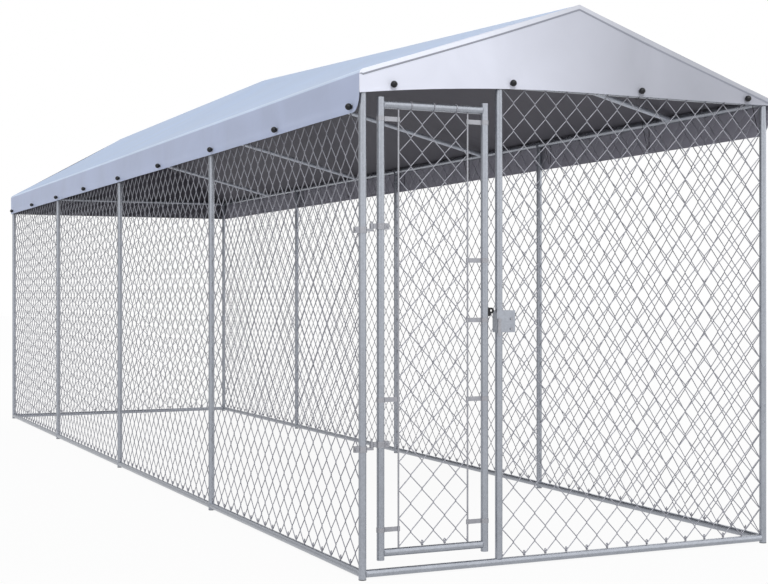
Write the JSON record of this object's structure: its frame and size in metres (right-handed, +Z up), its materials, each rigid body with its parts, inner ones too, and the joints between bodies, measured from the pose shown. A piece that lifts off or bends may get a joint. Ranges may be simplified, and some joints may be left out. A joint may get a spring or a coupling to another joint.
{
  "type": "outdoor dog kennel run",
  "caption": "Long walk-in dog run with a tubular steel frame, chain-link walls, a hinged gate with a swing latch and a ridged tarpaulin roof held by ball toggles.",
  "frame": {"origin": "on the ground, under the middle of the run", "axes": "+Y along the run from the gate end to the rear, +X to the right as seen from the gate end, +Z up"},
  "size_m": [2.0228, 7.7032, 2.4964],
  "materials": {
    "galvanised_tube": "dull galvanised",
    "net_wire": "galvanised wire",
    "zinc_fittings": "zinc plated",
    "black_plastic": "matt black",
    "roof_tarpaulin": "satin woven tarpaulin",
    "gable_tarpaulin": "satin woven tarpaulin",
    "elastic": "woven elastic"
  },
  "bodies": {
    "frame": {"post_front_left": "galvanised_tube", "post_front_right": "galvanised_tube", "post_rear_left": "galvanised_tube", "post_rear_right": "galvanised_tube", "left_posts": "galvanised_tube", "right_posts": "galvanised_tube", "latch_post": "galvanised_tube", "left_bottom_rails": "galvanised_tube", "left_top_rails": "galvanised_tube", "right_bottom_rails": "galvanised_tube", "right_top_rails": "galvanised_tube", "front_bottom_rail": "galvanised_tube", "front_top_rail": "galvanised_tube", "rear_bottom_rail": "galvanised_tube", "rear_top_rail": "galvanised_tube", "ridge_pole_front": "galvanised_tube", "ridge_pole_rear": "galvanised_tube", "front_king_post": "galvanised_tube", "rear_king_post": "galvanised_tube", "truss_king_posts": "galvanised_tube", "left_roof_ties": "galvanised_tube", "right_roof_ties": "galvanised_tube", "latch_plate": "galvanised_tube", "left_net_1": "net_wire", "left_net_2": "net_wire", "left_net_3": "net_wire", "left_net_4": "net_wire", "right_net_1": "net_wire", "right_net_2": "net_wire", "right_net_3": "net_wire", "right_net_4": "net_wire", "rear_net": "net_wire", "front_net": "net_wire", "ridge_joint": "zinc_fittings", "upper_hinge_clamp": "zinc_fittings", "lower_hinge_clamp": "zinc_fittings", "hinge_clamp_bolts": "zinc_fittings", "latch_plate_bolts": "zinc_fittings", "latch_rivet": "zinc_fittings", "canopy_eyelets": "zinc_fittings", "post_caps": "black_plastic", "post_feet": "black_plastic", "toggle_balls": "black_plastic", "roof_canopy": "roof_tarpaulin", "front_gable_panel": "gable_tarpaulin", "rear_gable_panel": "gable_tarpaulin", "elastic_loops": "elastic"},
    "gate": {"gate_hinge_stile": "galvanised_tube", "gate_latch_stile": "galvanised_tube", "gate_top_rail": "galvanised_tube", "gate_bottom_rail": "galvanised_tube", "gate_net": "net_wire", "gate_tension_bars": "zinc_fittings", "gate_tension_straps": "zinc_fittings", "upper_gate_eye": "zinc_fittings", "lower_gate_eye": "zinc_fittings", "gate_eye_bolts": "zinc_fittings", "gate_lock_eye": "black_plastic"},
    "lever": {"latch_lever": "zinc_fittings"}
  },
  "joints": [
    {"name": "gate_swing", "type": "hinge", "parent": "frame", "child": "gate", "pos_m": [-0.922, -3.8, 0.5], "axis": [0, 0, -1], "range_deg": [0, 110]},
    {"name": "latch_turn", "type": "hinge", "parent": "frame", "child": "lever", "pos_m": [-0.373, -3.82, 0.988], "axis": [0, 1, 0], "range_deg": [0, 90]}
  ]
}
